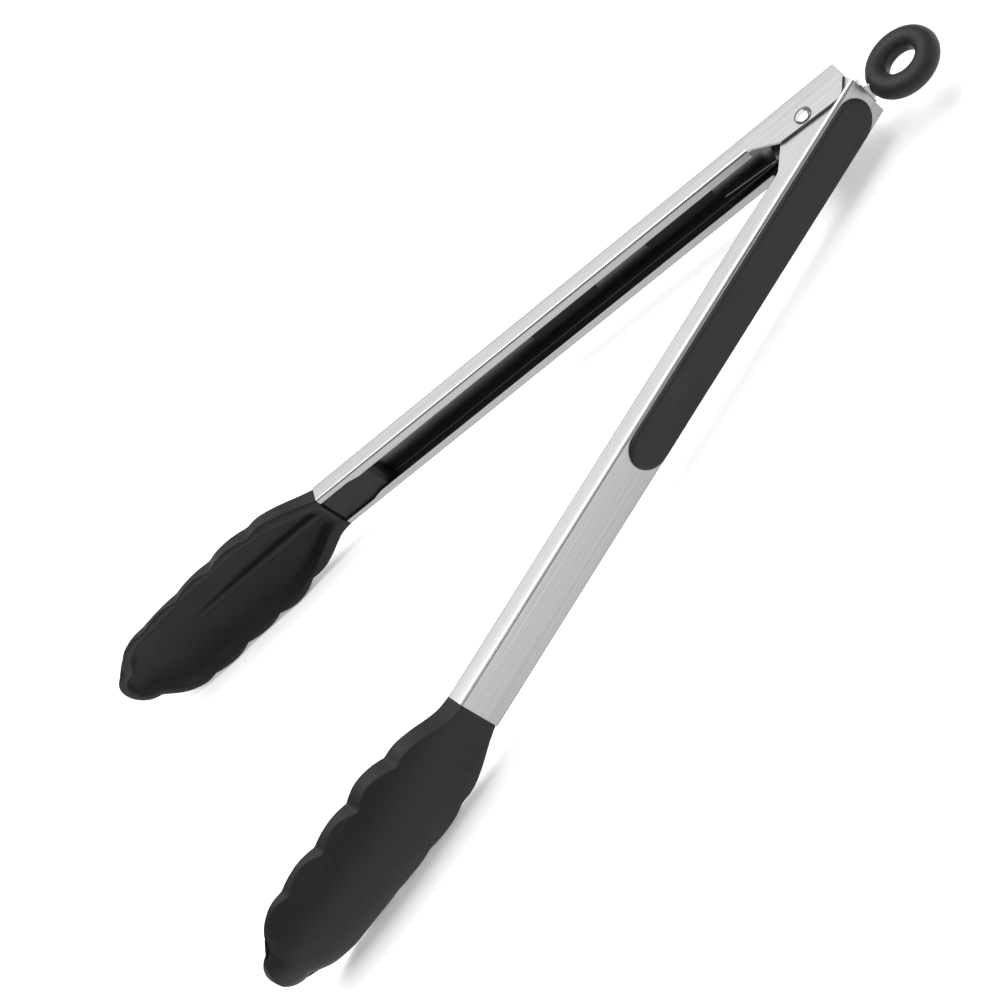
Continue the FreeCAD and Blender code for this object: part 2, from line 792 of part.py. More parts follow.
def build_skin(label, shape):
    feature = doc.addObject("Part::Feature", label)
    feature.Label = label
    feature.Shape = shape
    return feature


# ---------------------------------------------------------------- build and place

head = head_shape()
OUTER = "outer arm frame"
INNER = "inner arm frame"
PIN = "pin frame"
nodes = [
    (build_arm("outer_arm", inset=False), OUTER),
    (build_arm("inner_arm", inset=True), INNER),
    (build_grip("outer_grip"), OUTER),
    (build_grip("inner_grip"), INNER),
    (build_core("outer_head_core"), OUTER),
    (build_core("inner_head_core"), INNER),
    (build_skin("outer_head_skin", head), OUTER),
    (build_skin("inner_head_skin", head), INNER),
    (build_rivet("hinge_rivet"), OUTER),
    (build_spacer("rail_spacer"), OUTER),
    (build_spring("torsion_spring"), PIN),
    (build_slider("lock_slider"), OUTER),
    (build_lock_pin("lock_pin"), OUTER),
    (build_ring("hang_ring"), OUTER),
]
doc.recompute()

turn_over = Rotation(Vector(1, 0, 0), 180)
spread = V["half_opening_angle"]
frames = {
    INNER: Rotation(Vector(0, 0, 1), spread),
    OUTER: Rotation(Vector(0, 0, 1), -spread).multiply(turn_over),
    PIN: Rotation(Vector(0, 0, 1), -spread),
}
own_places = {
    "lock_pin": Vector(V["lock_pin_place"], V["lock_pin_depth"], -V["lock_pin_half_length"]),
}
for node, frame in nodes:
    start = Placement(own_places.get(node.Label, Vector()), Rotation())
    node.Placement = Placement(Vector(), frames[frame]).multiply(start)
doc.recompute()

# The row's origin: bottom centre of the whole object.
bounds = FreeCAD.BoundBox()
for node, frame in nodes:
    bounds.add(node.Shape.optimalBoundingBox(False, False))
shift = Vector(-bounds.Center.x, -bounds.Center.y, -bounds.ZMin)
for node, frame in nodes:
    node.Placement = Placement(shift, Rotation()).multiply(node.Placement)
doc.recompute()

for item in doc.Objects:
    if "Invalid" in item.State or "Error" in item.State:
        raise RuntimeError(item.Name + " failed: " + str(item.State))
os.makedirs("parts", exist_ok=True)
for node, frame in nodes:
    if node.Shape.isNull() or not node.Shape.isValid():
        raise RuntimeError(node.Label + " has no valid shape")
    node.Shape.exportStep("parts/" + node.Label + ".step")
    print(node.Label, len(node.Shape.Solids), round(node.Shape.Volume, 1))
print("hinge pin at", tuple(round(c, 4) for c in shift), "size",
      [round(c, 3) for c in (bounds.XLength, bounds.YLength, bounds.ZLength)])
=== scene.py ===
import math

import bmesh
import bpy
import numpy as np
from mathutils import Matrix, Vector


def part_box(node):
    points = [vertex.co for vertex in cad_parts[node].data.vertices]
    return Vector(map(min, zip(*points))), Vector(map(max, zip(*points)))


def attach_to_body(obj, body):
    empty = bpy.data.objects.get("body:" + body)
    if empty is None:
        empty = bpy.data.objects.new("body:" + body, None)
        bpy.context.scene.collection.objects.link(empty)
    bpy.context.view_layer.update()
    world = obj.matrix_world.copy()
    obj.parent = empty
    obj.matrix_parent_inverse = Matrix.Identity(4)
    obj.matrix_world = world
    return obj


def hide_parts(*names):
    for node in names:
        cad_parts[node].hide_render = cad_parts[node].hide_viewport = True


# Spring loaded kitchen tongs. Sizes are in millimetres and turned into metres by arm_matrix().
# Arm frame: x along the arm from the hinge pin, u outwards to the arm's back, z along the pin.

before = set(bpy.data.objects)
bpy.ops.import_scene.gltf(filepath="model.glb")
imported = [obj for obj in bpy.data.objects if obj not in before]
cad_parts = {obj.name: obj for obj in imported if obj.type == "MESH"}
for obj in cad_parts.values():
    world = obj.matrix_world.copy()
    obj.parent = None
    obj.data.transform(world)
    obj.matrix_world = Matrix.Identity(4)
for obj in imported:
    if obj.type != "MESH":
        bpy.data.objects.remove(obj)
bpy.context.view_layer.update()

MM = 0.001
HALF_OPENING = math.radians(14.66)
WELD = 2e-6
FLAT_DEGREES = 0.6

# channel and grips
WEB_DEPTH = 10.5
SHEET = 0.8
CHANNEL_HALF = 8.7
CHANNEL_MIDDLE = 6.0
METAL_END = 199.0
GRIP_BACK = -12.6
GRIP_FRONT = 113.8
GRIP_HALF = 7.5
GRIP_HEIGHT = 1.5
GRIP_CROWN = 0.25
EDGE_ROLL = 1.1
DIMPLE_PLACE = 88.0
DIMPLE_DEPTH = 0.5
DIMPLE_LENGTH = 9.0
DIMPLE_WIDTH = 4.4
PAD_SINK = 0.02
LOOP_STEPS = 28
LOOP_RUN = 110
PAD_RINGS = 30
FIRST_SLOT = 38.3
SLOT_PITCH = 46.8
SLOT_LENGTH = 25.4
SLOT_HALF = 2.7
STUD_PLAY = 0.15
STUD_LIP = 0.55
# head of a stud: distance in from its rim and how far it stands inside the web
STUD_HEAD = [(0.0, 0.0), (0.0, 0.45), (0.15, 0.75), (0.5, 0.88)]
STUD_STEPS = 16

# head envelope: place along the arm, half width, rim height, height of the edge band, crown height
HEAD_PROFILE = [
    (199.0, 8.7, 3.6, 6.3, 10.5),
    (204.0, 10.0, 4.1, 6.1, 10.7),
    (208.0, 11.8, 4.0, 5.9, 10.7),
    (212.0, 13.8, 3.6, 5.6, 10.7),
    (218.0, 16.0, 2.9, 5.4, 10.6),
    (225.0, 17.6, 1.7, 5.2, 10.4),
    (233.0, 18.6, 0.5, 4.7, 10.0),
    (249.0, 18.6, -0.5, 3.1, 9.0),
    (265.0, 18.5, -2.6, 2.4, 7.2),
    (279.0, 17.2, -3.7, 2.0, 4.7),
    (285.0, 14.0, -3.8, 2.1, 3.5),
    (289.6, 8.8, -3.9, 2.3, 2.2),
    (297.2, 0.0, -4.0, 2.4, -0.8),
]
NECK_SHOULDER = 209.0
TIP_START = 289.6
TIP = 297.2

# scallops: place of each notch and how far it is cut in from the envelope
NOTCHES = [(223.5, 1.8), (240.5, 2.1), (256.0, 1.7), (272.0, 1.5), (289.6, 0.0)]
NOTCH_ROUNDING = 0.6
BAND_SLOPE = 6.0
HOLLOW_SLOPE = 2.2
RIM_WIDTH = 2.8
RIM_ROUND = 0.4
RIM_STEPS = 7
DOME_INSET = 0.6
DOME_FULLNESS = 2.5
NECK_FULLNESS = 5.0
NECK_FULLNESS_END = 222.0
HOLLOW_START = (1.0, 9.0)
HOLLOW_DROP = 0.3
NECK_INSET = 1.4
NECK_INSET_END = 236.0
BAND_BLEND = 1.1
HOLLOW_BLEND = 1.4
RIB_BLEND = 0.5
SHELL = 2.5
RIB_START = 203.0
RIB_END = 276.0
RIB_HALF = 1.0
RIB_HEIGHT = 1.8
RIB_SLOPE = 1.3
RIB_SOFTNESS = 0.04
ROW_EVEN = 0.62
ROW_CROWDED = 0.38
HEAD_ROWS = 200
HEAD_COLUMNS = 132
OUTLINE_POINTS = 900
DISTANCE_POINTS = 420

# spring, rivet and ring
WIRE = 0.4
WIRE_PLAY = 0.1
WIRE_END_REACH = 0.8
WIRE_END_SHARE = 0.45
LEG_BEND = (1.2, -0.02, 0)
BRIDGE_CORNER = 0.7
COIL_RADIUS = 2.45
COIL_START = 5.08
COIL_PITCH = 0.82
BRIDGE_PLACE = 27.0
BRIDGE_HALF = 5.08
LEG_HEEL = 17.0
LEG_TIP = 36.0
RING_PLACE = 31.3
RING_OFFSET = 0.6
RING_RADIUS = 8.5
RING_TUBE = 3.75
RING_HOLE = 4.95
RING_SEAM = 0.05
RING_SEAM_DEGREES = 2.2
RIVET_SHANK = 1.75
# half section of the rivet's head: radius and height over the ear
RIVET_HEAD = [(0.0, 1.25), (0.9, 1.22), (1.7, 1.1), (2.3, 0.92), (2.75, 0.7), (3.02, 0.48),
              (3.16, 0.34), (3.16, 0.26), (2.95, 0.14), (2.5, 0.05)]
FAR_HEAD = (0.92, 0.85)


# ---------------------------------------------------------------- frames

rivet_low, rivet_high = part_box("hinge_rivet")
arm_low, arm_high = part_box("outer_arm")
PIN = Vector(((rivet_low.x + rivet_high.x) / 2, (rivet_low.y + rivet_high.y) / 2,
              (arm_low.z + arm_high.z) / 2))
COS, SIN = math.cos(HALF_OPENING), math.sin(HALF_OPENING)
ARM_AXES = {
    "inner_arm": (Vector((COS, SIN, 0)), Vector((-SIN, COS, 0)), Vector((0, 0, 1))),
    "outer_arm": (Vector((COS, -SIN, 0)), Vector((-SIN, -COS, 0)), Vector((0, 0, -1))),
}


def arm_matrix(arm):
    """Arm frame in millimetres to the row frame in metres."""
    along, outwards, across = (axis * MM for axis in ARM_AXES[arm])
    turned = Matrix((along, outwards, across)).transposed().to_4x4()
    turned.translation = PIN
    return turned


# ---------------------------------------------------------------- mesh helpers

def make_object(name, bm, matrix, material, smooth_angle=None):
    """A mesh object in the row frame, smooth shaded, with sharp edges above smooth_angle."""
    bm.transform(matrix)
    bmesh.ops.recalc_face_normals(bm, faces=bm.faces)
    mesh = bpy.data.meshes.new(name)
    bm.to_mesh(mesh)
    bm.free()
    mesh.materials.append(material)
    mesh.shade_smooth()
    if smooth_angle is not None:
        mesh.set_sharp_from_angle(angle=math.radians(smooth_angle))
    item = bpy.data.objects.new(name, mesh)
    bpy.context.scene.collection.objects.link(item)
    return item


def attach(item, body, slot, *nodes):
    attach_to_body(item, body)
    if nodes:
        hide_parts(*nodes)
    return item


def add_grid(bm, points):
    """Vertices and quads of a grid given as an array of rows of points."""
    rows = [[bm.verts.new(p) for p in row] for row in points]
    for low, high in zip(rows, rows[1:]):
        join_rows(bm, low, high)
    return rows


def join_rows(bm, low, high, closed=False):
    count = len(low)
    for j in range(count if closed else count - 1):
        k = (j + 1) % count
        bm.faces.new((low[j], low[k], high[k], high[j]))


def lathe(profile, segments=96):
    """Turn a profile of (radius, height) about z; zero radii become poles."""
    bm = bmesh.new()
    rings = []
    for radius, height in profile:
        if radius < 1e-6:
            rings.append([bm.verts.new((0, 0, height))])
            continue
        turns = [2 * math.pi * k / segments for k in range(segments)]
        rings.append([bm.verts.new((radius * math.cos(a), radius * math.sin(a), height))
                      for a in turns])
    for low, high in zip(rings, rings[1:]):
        if len(low) == 1 or len(high) == 1:
            pole, ring = (low[0], high) if len(low) == 1 else (high[0], low)
            for k in range(segments):
                bm.faces.new((pole, ring[k], ring[(k + 1) % segments]))
        else:
            join_rows(bm, low, high, closed=True)
    return bm


def tube(path, radius, sides=16):
    """A round wire of constant radius along a list of points, with domed ends."""
    path = [Vector(p) for p in path]
    bm = bmesh.new()
    tangents = []
    for k, point in enumerate(path):
        before, after = path[max(k - 1, 0)], path[min(k + 1, len(path) - 1)]
        tangents.append((after - before).normalized())
    normal = tangents[0].orthogonal().normalized()
    rings = []
    reach = radius * WIRE_END_REACH
    stations = [(path[0] - tangents[0] * reach, WIRE_END_SHARE), (path[0], 1.0)]
    stations += [(point, 1.0) for point in path[1:]]
    stations += [(path[-1] + tangents[-1] * reach, WIRE_END_SHARE)]
    tangents = [tangents[0]] + tangents + [tangents[-1]]
    for (point, share), tangent in zip(stations, tangents):
        normal = (normal - tangent * normal.dot(tangent)).normalized()
        other = tangent.cross(normal)
        rings.append([bm.verts.new(point + (normal * math.cos(a) + other * math.sin(a))
                                   * radius * share)
                      for a in (2 * math.pi * s / sides for s in range(sides))])
    for low, high in zip(rings, rings[1:]):
        join_rows(bm, low, high, closed=True)
    bm.faces.new(rings[0])
    bm.faces.new(rings[-1])
    return bm


def smooth_min(a, b, reach):
    """The smaller of two surfaces, blended over a reach."""
    share = np.clip(0.5 + 0.5 * (b - a) / reach, 0, 1)
    return b * (1 - share) + a * share - reach * share * (1 - share)


def smooth_step(x, low, high):
    t = np.clip((x - low) / (high - low), 0, 1)
    return t * t * (3 - 2 * t)


def spline(x, places, values):
    """Smooth curve through the given values (cubic Hermite with mean slopes)."""
    places, values = np.array(places, float), np.array(values, float)
    slopes = np.gradient(values, places)
    x = np.clip(x, places[0], places[-1])
    k = np.clip(np.searchsorted(places, x) - 1, 0, len(places) - 2)
    span = places[k + 1] - places[k]
    t = (x - places[k]) / span
    return ((2 * t ** 3 - 3 * t ** 2 + 1) * values[k] + (t ** 3 - 2 * t ** 2 + t) * span * slopes[k]
            + (3 * t ** 2 - 2 * t ** 3) * values[k + 1] + (t ** 3 - t ** 2) * span * slopes[k + 1])


def resample(line, count):
    """Points at equal steps along a polyline."""
    steps = np.r_[0, np.cumsum(np.linalg.norm(np.diff(line, axis=0), axis=1))]
    at = np.linspace(0, steps[-1], count)
    return np.stack([np.interp(at, steps, line[:, k]) for k in range(line.shape[1])], axis=1)


def distance_to(points, line):
    """Shortest distance from each point to a polyline, in the plan."""
    start, along = line[:-1], np.diff(line, axis=0)
    length = (along ** 2).sum(1)
    best = np.full(len(points), 1e9)
    for p, d, n in zip(start, along, length):
        t = np.clip(((points - p) @ d) / n, 0, 1)
        best = np.minimum(best, np.linalg.norm(points - p - t[:, None] * d, axis=1))
    return best


# ---------------------------------------------------------------- heads

def scallop(x):
    """How far the rim is cut in from the envelope: round lobes between tight notches."""
    ends = [(NECK_SHOULDER, 0.0)] + NOTCHES
    cut = np.zeros_like(x)
    for (start, low), (end, high) in zip(ends, ends[1:]):
        t = (x - start) / (end - start) * 2 - 1
        inside = (t >= -1) & (t <= 1)
        cut = np.where(inside, np.where(t < 0, low, high) * t * t, cut)
    return cut


def head_outline(notched):
    """Plan outline (x, z) from the neck round the tip and back, with or without the scallops."""
    x = np.linspace(METAL_END, TIP_START, 400)
    z = envelope(x, 1) - scallop(x) * notched
    sweep = np.linspace(0, math.pi / 2, 40)[1:]
    x = np.r_[x, TIP_START + (TIP - TIP_START) * np.sin(sweep)]
    z = np.r_[z, z[-1] * np.cos(sweep)]
    half = np.stack([x, z], axis=1)
    whole = resample(np.concatenate([half, half[-2::-1] * [1, -1]]), OUTLINE_POINTS)
    step = np.linalg.norm(whole[1] - whole[0])
    spread = np.arange(-20, 21) * step
    weights = np.exp(-spread ** 2 / (2 * NOTCH_ROUNDING ** 2))
    weights /= weights.sum()
    padded = np.concatenate([2 * whole[0] - whole[20:0:-1], whole,
                             2 * whole[-1] - whole[-2:-22:-1]])
    return np.stack([np.convolve(padded[:, k], weights, "valid") for k in (0, 1)], axis=1)


def inset_line(line, depth):
    """The outline moved inwards, further beside the neck, kept in front of the neck line."""
    along = np.gradient(line, axis=0)
    inward = np.stack([along[:, 1], -along[:, 0]], axis=1)
    inward /= np.linalg.norm(inward, axis=1)[:, None]
    extra = NECK_INSET * (1 - smooth_step(line[:, 0], METAL_END + 6, NECK_INSET_END))
    moved = line + inward * (depth + extra)[:, None]
    moved[:, 0] = np.maximum(moved[:, 0], METAL_END)
    return moved


def plan_grid(line, rows, columns):
    """Grid over the plan inside an outline: a Coons patch from neck to tip."""
    corner = int(np.argmax(line[:, 0] > TIP_START))
    left = line[:corner + 1]
    right = line[::-1][:corner + 1]
    tip = line[corner:len(line) - corner]
    u = np.linspace(0, 1, rows)
    s = ROW_EVEN * u + ROW_CROWDED * np.sin(math.pi / 2 * u)
    t = 0.5 - 0.5 * np.cos(math.pi * np.linspace(0, 1, columns))

    def at(curve, share):
        steps = np.r_[0, np.cumsum(np.linalg.norm(np.diff(curve, axis=0), axis=1))]
        steps /= steps[-1]
        return np.stack([np.interp(share, steps, curve[:, k]) for k in (0, 1)], axis=1)

    neck = np.array([line[0], line[-1]])
    low, high = at(neck, t)[None], at(tip, t)[None]
    first, last = at(left, s)[:, None], at(right, s)[:, None]
    s, t = s[:, None, None], t[None, :, None]
    corners = ((1 - s) * (1 - t) * line[0] + (1 - s) * t * line[-1]
               + s * (1 - t) * left[-1] + s * t * right[-1])
    return (1 - s) * low + s * high + (1 - t) * first + t * last - corners


def envelope(x, column):
    places = [row[0] for row in HEAD_PROFILE]
    return spline(x, places, [row[column] for row in HEAD_PROFILE])


def dome_height(plan):
    """Crowned outer face, which meets the top of the edge band."""
    x = plan[..., 0]
    top = envelope(x, 2) + envelope(x, 3)
    past_tip = np.clip((x - TIP_START) / (TIP - TIP_START), 0, 1)
    half = np.maximum(envelope(np.minimum(x, TIP_START), 1) * np.sqrt(1 - past_tip ** 2) - DOME_INSET, 1.0)
    crown = np.maximum(envelope(x, 4), top)
    fullness = DOME_FULLNESS + NECK_FULLNESS * (1 - smooth_step(x, METAL_END, NECK_FULLNESS_END))
    return crown - (crown - top) * np.clip(np.abs(plan[..., 1]) / half, 0, 1.1) ** fullness


def outer_height(plan, edge):
    """Outer face: steep scalloped edge band, a soft line along its top, then the dome."""
    band = envelope(plan[..., 0], 2) + RIM_ROUND + BAND_SLOPE * edge
    return smooth_min(band, dome_height(plan), BAND_BLEND)


def inner_height(plan, edge):
    """Hollow face, with the tapered rib down its middle."""
    x, z = plan[..., 0], np.abs(plan[..., 1])
    rim = envelope(x, 2) + RIM_ROUND
    hollow = smooth_min(rim + HOLLOW_SLOPE * edge, dome_height(plan) - SHELL, HOLLOW_BLEND)
    hollow = np.maximum(hollow, rim - HOLLOW_DROP)
    start = smooth_step(x, METAL_END + HOLLOW_START[0], METAL_END + HOLLOW_START[1])
    hollow = rim * (1 - start) + hollow * start
    middle = np.stack([x, np.zeros_like(x)], axis=-1)
    height = RIB_HEIGHT * (1 - smooth_step(x, RIB_START, RIB_END) ** 3)
    flank = np.sqrt(np.clip(z - RIB_HALF, 0, 50) ** 2 + RIB_SOFTNESS)
    fade = smooth_step(x, RIB_END - 8, RIB_END + 2)
    rib = dome_height(middle) - SHELL - height + RIB_SLOPE * flank + fade
    return smooth_min(hollow, rib, RIB_BLEND)


def build_head(name, arm, material):
    outline = head_outline(1.0)
    inner_line = inset_line(head_outline(0.0), RIM_WIDTH)

    def away_from(line, plan):
        flat = distance_to(plan.reshape(-1, 2), resample(line, DISTANCE_POINTS))
        return flat.reshape(plan.shape[:2])

    outer_plan = plan_grid(outline, HEAD_ROWS, HEAD_COLUMNS)
    inner_plan = plan_grid(inner_line, HEAD_ROWS, HEAD_COLUMNS)
    outer_y = outer_height(outer_plan, away_from(outline, outer_plan))
    inner_y = inner_height(inner_plan, away_from(inner_line, inner_plan))
    outer = np.stack([outer_plan[..., 0], outer_y, outer_plan[..., 1]], axis=-1)
    inner = np.stack([inner_plan[..., 0], inner_y, inner_plan[..., 1]], axis=-1)

    bm = bmesh.new()
    outer_rows = add_grid(bm, outer)
    inner_rows = add_grid(bm, inner)

    def rim_loop(grid):
        return [r[0] for r in grid] + list(grid[-1][1:-1]) + [r[-1] for r in grid[::-1]]

    outside, inside = rim_loop(outer_rows), rim_loop(inner_rows)
    previous = outside
    for k in range(1, RIM_STEPS):
        angle = math.pi * k / RIM_STEPS
        share = 0.5 - 0.5 * math.cos(angle)
        ring = []
        for a, b in zip(outside, inside):
            point = a.co.lerp(b.co, share)
            point.y -= RIM_ROUND * math.sin(angle)
            ring.append(bm.verts.new(point))
        join_rows(bm, previous, ring)
        previous = ring
    join_rows(bm, previous, inside)
    bmesh.ops.holes_fill(bm, edges=[e for e in bm.edges if e.is_boundary], sides=0)
    return make_object(name, bm, arm_matrix(arm), material, 50)


# ---------------------------------------------------------------- grips

def grip_loop(half):
    """Round ended outline of a given half width, sharing the pad's end centres."""
    turns = np.linspace(-math.pi / 2, math.pi / 2, LOOP_STEPS)
    low, high = GRIP_BACK + GRIP_HALF, GRIP_FRONT - GRIP_HALF
    run = np.linspace(0, 1, LOOP_RUN)[1:-1]
    front = np.stack([high + half * np.cos(turns), half * np.sin(turns)], axis=1)
    upper = np.stack([high + (low - high) * run, np.full_like(run, half)], axis=1)
    back = np.stack([low - half * np.cos(turns), -half * np.sin(turns)], axis=1)
    lower = np.stack([low + (high - low) * run, np.full_like(run, -half)], axis=1)
    return np.concatenate([front, upper, back, lower])


def build_grip(name, arm, material):
    """Crowned pad with a rolled edge and a shallow thumb dimple near its front."""
    bm = bmesh.new()
    shares = np.sin(np.linspace(0.02, 1, PAD_RINGS) * math.pi / 2)
    rows = []
    for half in GRIP_HALF * shares:
        loop = grip_loop(half)
        sunk = np.clip(EDGE_ROLL - (GRIP_HALF - half), 0, EDGE_ROLL)
        rolled = EDGE_ROLL - math.sqrt(EDGE_ROLL ** 2 - sunk ** 2)
        crown = GRIP_CROWN * (half / GRIP_HALF) ** 2
        spread = ((loop[:, 0] - DIMPLE_PLACE) / DIMPLE_LENGTH) ** 2 + (loop[:, 1] / DIMPLE_WIDTH) ** 2
        height = WEB_DEPTH + GRIP_HEIGHT - crown - rolled - DIMPLE_DEPTH * np.exp(-spread)
        rows.append([bm.verts.new((p[0], h, p[1])) for p, h in zip(loop, height)])
    rows.append([bm.verts.new((v.co.x, WEB_DEPTH - PAD_SINK, v.co.z)) for v in rows[-1]])
    for low, high in zip(rows, rows[1:]):
        join_rows(bm, low, high, closed=True)
    bm.faces.new(rows[-1])
    count = len(rows[0])
    mirror = [(LOOP_STEPS - 1 - k) % count for k in range(count)]
    first = LOOP_STEPS // 2
    for k in range(first, first + count // 2 - 1):
        bm.faces.new([rows[0][i] for i in (k, k + 1, mirror[k + 1], mirror[k])])
    return make_object(name, bm, arm_matrix(arm), material, 40)


def build_anchor(name, arm, material):
    """The grip's two rounded studs, seen through the slots from inside the channel."""
    bm = bmesh.new()
    reach = SLOT_HALF + STUD_LIP
    inside = WEB_DEPTH - SHEET
    stem = [(SLOT_HALF - STUD_PLAY, WEB_DEPTH), (SLOT_HALF - STUD_PLAY, inside)]
    head = [(reach - drawn_in, inside - height) for drawn_in, height in STUD_HEAD]
    for start in (FIRST_SLOT, FIRST_SLOT + SLOT_PITCH):
        rows = []
        for half, level in stem + head:
            turns = np.linspace(-math.pi / 2, math.pi / 2, STUD_STEPS)
            low, high = start + SLOT_HALF, start + SLOT_LENGTH - SLOT_HALF
            loop = [(high + half * math.cos(a), half * math.sin(a)) for a in turns]
            loop += [(low - half * math.cos(a), -half * math.sin(a)) for a in turns]
            rows.append([bm.verts.new((x, level, z)) for x, z in loop])
        for below, above in zip(rows, rows[1:]):
            join_rows(bm, below, above, closed=True)
        bm.faces.new(rows[0])
        bm.faces.new(rows[-1])
    return make_object(name, bm, arm_matrix(arm), material, 40)


# ---------------------------------------------------------------- refined copies of CAD nodes

def refined_copy(name, node, material, width, segments=2, angle=35):
    """The CAD node's own shape with a small bevel on its sharp edges."""
    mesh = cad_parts[node].data.copy()
    custom = mesh.attributes.get("custom_normal")
    if custom is not None:
        mesh.attributes.remove(custom)
    bm = bmesh.new()
    bm.from_mesh(mesh)
    bpy.data.meshes.remove(mesh)
    bmesh.ops.remove_doubles(bm, verts=bm.verts, dist=WELD)
    bmesh.ops.dissolve_limit(bm, angle_limit=math.radians(FLAT_DEGREES), verts=bm.verts,
                             edges=bm.edges)
    item = make_object(name, bm, Matrix.Identity(4), material, angle)
    bevel = item.modifiers.new("edge_round", "BEVEL")
    bevel.width = width * MM
    bevel.segments = segments
    bevel.limit_method = "ANGLE"
    bevel.angle_limit = math.radians(angle)
    bevel.use_clamp_overlap = True
    bevel.harden_normals = True
    return item


def paint_channel_shade(item, arm, material):
    """Give the faces that look into the channel a darker copy of the brushed steel: painted shade inside
    the channel.
    """
    item.data.materials.append(material)
    to_arm = arm_matrix(arm).inverted()
    for face in item.data.polygons:
        place = to_arm @ face.center
        facing = to_arm.to_3x3() @ face.normal
        if facing.y * (CHANNEL_MIDDLE - place.y) - facing.z * place.z > 0:
            face.material_index = 1
    return item


# ---------------------------------------------------------------- materials

class Nodes:
    """Short hand for building a material's node tree."""

    def __init__(self, name):
        self.material = bpy.data.materials.new(name)
        self.material.use_nodes = True
        self.tree = self.material.node_tree
        self.shader = self.tree.nodes["Principled BSDF"]

    def add(self, kind, settings=None, **inputs):
        node = self.tree.nodes.new(kind)
        for key, value in (settings or {}).items():
            setattr(node, key, value)
        for key, value in inputs.items():
            self.feed(node.inputs[key.replace("_", " ")], value)
        return node

    def feed(self, socket, value):
        if isinstance(value, bpy.types.NodeSocket):
            self.tree.links.new(value, socket)
        else:
            socket.default_value = value

    def noise(self, vector, scale, detail=3.0):
        return self.add("ShaderNodeTexNoise", Vector=vector, Scale=scale, Detail=detail).outputs[0]

    def streaks(self, vector, scale, detail):
        return self.noise(self.add("ShaderNodeMapping", Vector=vector, Scale=scale).outputs[0], 1.0, detail)

    def remap(self, value, low, high, source=(0.3, 0.7)):
        node = self.add("ShaderNodeMapRange", Value=value, From_Min=source[0], From_Max=source[1],
                        To_Min=low, To_Max=high)
        return node.outputs[0]

    def blend(self, share, low, high):
        node = self.add("ShaderNodeMix", {"data_type": "RGBA"})
        self.feed(node.inputs["Factor"], share)
        self.feed(node.inputs[6], (*low, 1))
        self.feed(node.inputs[7], (*high, 1))
        return node.outputs[2]

    def bump(self, height, strength, distance, normal=None):
        node = self.add("ShaderNodeBump", Height=height, Strength=strength, Distance=distance)
        if normal is not None:
            self.feed(node.inputs["Normal"], normal)
        return node.outputs[0]

    def set(self, **inputs):
        for key, value in inputs.items():
            self.feed(self.shader.inputs[key.replace("_", " ")], value)


def brushed_steel(name, turn, dark, light):
    """Stainless sheet brushed along a line that is turned about z in the row frame."""
    n = Nodes(name)
    where = n.add("ShaderNodeTexCoord").outputs["Object"]
    aligned = n.add("ShaderNodeMapping", {"vector_type": "TEXTURE"}, Vector=where,
                    Rotation=(0, 0, turn)).outputs[0]
    fine = n.streaks(aligned, (14, 3400, 3400), 4.0)
    broad = n.streaks(aligned, (5, 700, 700), 3.0)
    cloud = n.noise(aligned, 28.0, 2.0)
    both = n.add("ShaderNodeMath", {"operation": "MULTIPLY_ADD"})
    n.feed(both.inputs[0], broad)
    n.feed(both.inputs[1], 0.22)
    n.feed(both.inputs[2], n.remap(fine, 0.0, 0.78, (0.0, 1.0)))
    streak = both.outputs[0]
    n.set(Metallic=1.0,
          Base_Color=n.blend(n.remap(streak, 0.0, 1.0, (0.32, 0.68)),
                             (dark, dark, dark * 1.01), (light, light, light)),
          Roughness=n.remap(cloud, 0.25, 0.33),
          Normal=n.bump(streak, 0.2, 0.00005))
    return n.material


def polished_steel(name, tone):
    """Bright steel with fine scratches, for the rivet, pins and wire."""
    n = Nodes(name)
    where = n.add("ShaderNodeTexCoord").outputs["Object"]
    scratch = n.noise(where, 1800.0, 3.0)
    n.set(Metallic=1.0, Base_Color=(tone, tone, tone * 1.01, 1),
          Roughness=n.remap(n.noise(where, 160.0), 0.10, 0.22),
          Normal=n.bump(scratch, 0.06, 0.00003))
    return n.material


def silicone(name, dark, light, roughness):
    """Matte moulded silicone: fine pebbled skin, faint dust, and a painted highlight that pales the convex
    edges.
    """
    n = Nodes(name)
    where = n.add("ShaderNodeTexCoord").outputs["Object"]
    skin = n.noise(where, 4200.0, 2.0)
    flow = n.noise(where, 55.0, 4.0)
    speck = n.noise(where, 1500.0, 1.0)
    # painted highlight: pointiness lightens the colour along convex edges
    edge = n.add("ShaderNodeNewGeometry").outputs["Pointiness"]
    edge_highlight = n.remap(edge, 0.0, 1.0, (0.50, 0.58))
    mixed = n.add("ShaderNodeMath", {"operation": "ADD", "use_clamp": True})
    n.feed(mixed.inputs[0], edge_highlight)
    n.feed(mixed.inputs[1], n.remap(flow, 0.0, 0.35))
    n.set(Base_Color=n.blend(mixed.outputs[0], dark, light),
          Roughness=n.remap(speck, roughness - 0.06, roughness + 0.06),
          Specular_IOR_Level=0.24, Sheen_Weight=0.03, Sheen_Roughness=0.5,
          Normal=n.bump(skin, 0.16, 0.00004))
    return n.material


def floor_surface():
    n = Nodes("pale_floor")
    where = n.add("ShaderNodeTexCoord").outputs["Object"]
    tone = n.blend(n.remap(n.noise(where, 3.0), 0.0, 1.0), (0.90, 0.90, 0.90), (0.93, 0.93, 0.93))
    n.set(Base_Color=tone, Roughness=0.8, Specular_IOR_Level=0.1,
          Emission_Color=(1, 1, 1, 1), Emission_Strength=0.22)
    return n.material


